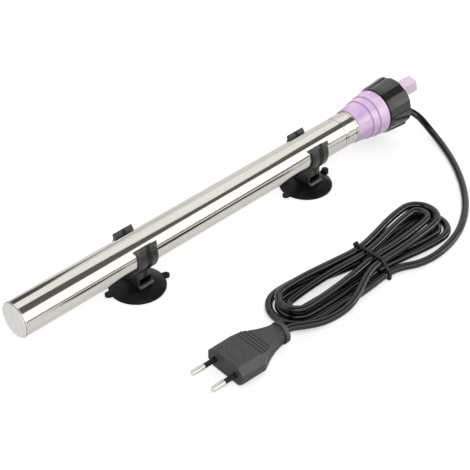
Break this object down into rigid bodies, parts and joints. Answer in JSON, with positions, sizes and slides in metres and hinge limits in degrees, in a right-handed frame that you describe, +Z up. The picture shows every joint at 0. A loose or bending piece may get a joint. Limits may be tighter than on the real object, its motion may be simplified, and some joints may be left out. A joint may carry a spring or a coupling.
{
  "type": "submersible aquarium heater",
  "caption": "Submersible aquarium heater: polished steel tube, flared lavender collar, black cap with dial knob, suction cup clips, bundled mains cord with flat plug.",
  "frame": {"origin": "floor under the middle of the heater, level with the suction cups' rims", "axes": "+X along the tube from the blind end to the knob, +Z up from the cups' rims to the tube, +Y away from the bundled cord"},
  "size_m": [0.3885, 0.1475, 0.0516],
  "materials": {
    "polished_steel": "mirror polished, drawn lengthwise",
    "satin_steel": "satin with soft streaks",
    "lavender_plastic": "semi-gloss moulding",
    "black_gloss": "glossy moulding",
    "black_satin": "satin moulding",
    "soft_rubber": "soft, slightly glossy",
    "cord_sheath": "smooth vinyl sheath",
    "nickel": "bright plated",
    "brass": "turned",
    "spring_steel": "sheet",
    "ceramic": "unglazed ceramic",
    "resistance_wire": "wound coil",
    "mica": "woven sleeve",
    "magnet": "sintered",
    "wire_brown": "insulated wire",
    "wire_blue": "insulated wire"
  },
  "bodies": {
    "heater": {"sheath_tube": "polished_steel", "end_disc": "satin_steel", "collar": "lavender_plastic", "cap": "black_gloss", "cap_gasket": "soft_rubber", "tube_bung": "soft_rubber", "cord_gland": "soft_rubber", "spindle_bush": "brass", "thermostat_frame": "spring_steel", "insulating_blocks": "ceramic", "fixed_contact_blade": "spring_steel", "thermostat_magnet": "magnet", "thermal_fuse": "ceramic", "heater_former": "ceramic", "heater_winding": "resistance_wire", "former_end_discs": "ceramic", "insulating_sleeve": "mica", "live_lead": "wire_brown", "neutral_lead": "wire_blue", "cord_lead": "cord_sheath", "cord_hank": "cord_sheath", "cord_tail": "cord_sheath", "cord_tie": "black_satin", "plug_body": "black_satin", "plug_pins": "nickel", "pin_sleeves": "black_satin"},
    "knob": {"temperature_knob": "lavender_plastic", "knob_spindle": "brass", "spindle_o_ring": "soft_rubber", "spindle_clip": "spring_steel"},
    "adjuster": {"adjuster_nut": "brass"},
    "contact_arm": {"bimetal_strip": "spring_steel"},
    "clip_near": {"tube_clip_near": "black_satin"},
    "clip_far": {"tube_clip_far": "black_satin"},
    "cup_near": {"suction_cup_near": "soft_rubber"},
    "cup_far": {"suction_cup_far": "soft_rubber"}
  },
  "joints": [
    {"name": "knob_turn", "type": "hinge", "parent": "heater", "child": "knob", "pos_m": [0.19, 0, 0.037], "axis": [1, 0, 0], "range_deg": [-135, 135]},
    {"name": "nut_travel", "type": "slide", "parent": "heater", "child": "adjuster", "axis": [1, 0, 0], "range_m": [-0.00075, 0.00075]},
    {"name": "strip_bend", "type": "hinge", "parent": "heater", "child": "contact_arm", "pos_m": [0.074, 0, 0.0324], "axis": [0, 1, 0], "range_deg": [0, 1.5], "stiffness_Nm_per_rad": 0.5},
    {"name": "clip_near_slide", "type": "slide", "parent": "heater", "child": "clip_near", "axis": [1, 0, 0], "range_m": [-0.085, 0.06]},
    {"name": "clip_far_slide", "type": "slide", "parent": "heater", "child": "clip_far", "axis": [1, 0, 0], "range_m": [-0.04, 0.02]},
    {"name": "cup_near_turn", "type": "hinge", "parent": "clip_near", "child": "cup_near", "pos_m": [-0.094, 0, 0.01], "axis": [0, 0, 1], "continuous": true},
    {"name": "cup_far_turn", "type": "hinge", "parent": "clip_far", "child": "cup_far", "pos_m": [0.074, 0, 0.01], "axis": [0, 0, 1], "continuous": true}
  ],
  "couplings": [
    {"joint": "nut_travel", "follows": "knob_turn", "m_per_rad": 0.00031831}
  ]
}
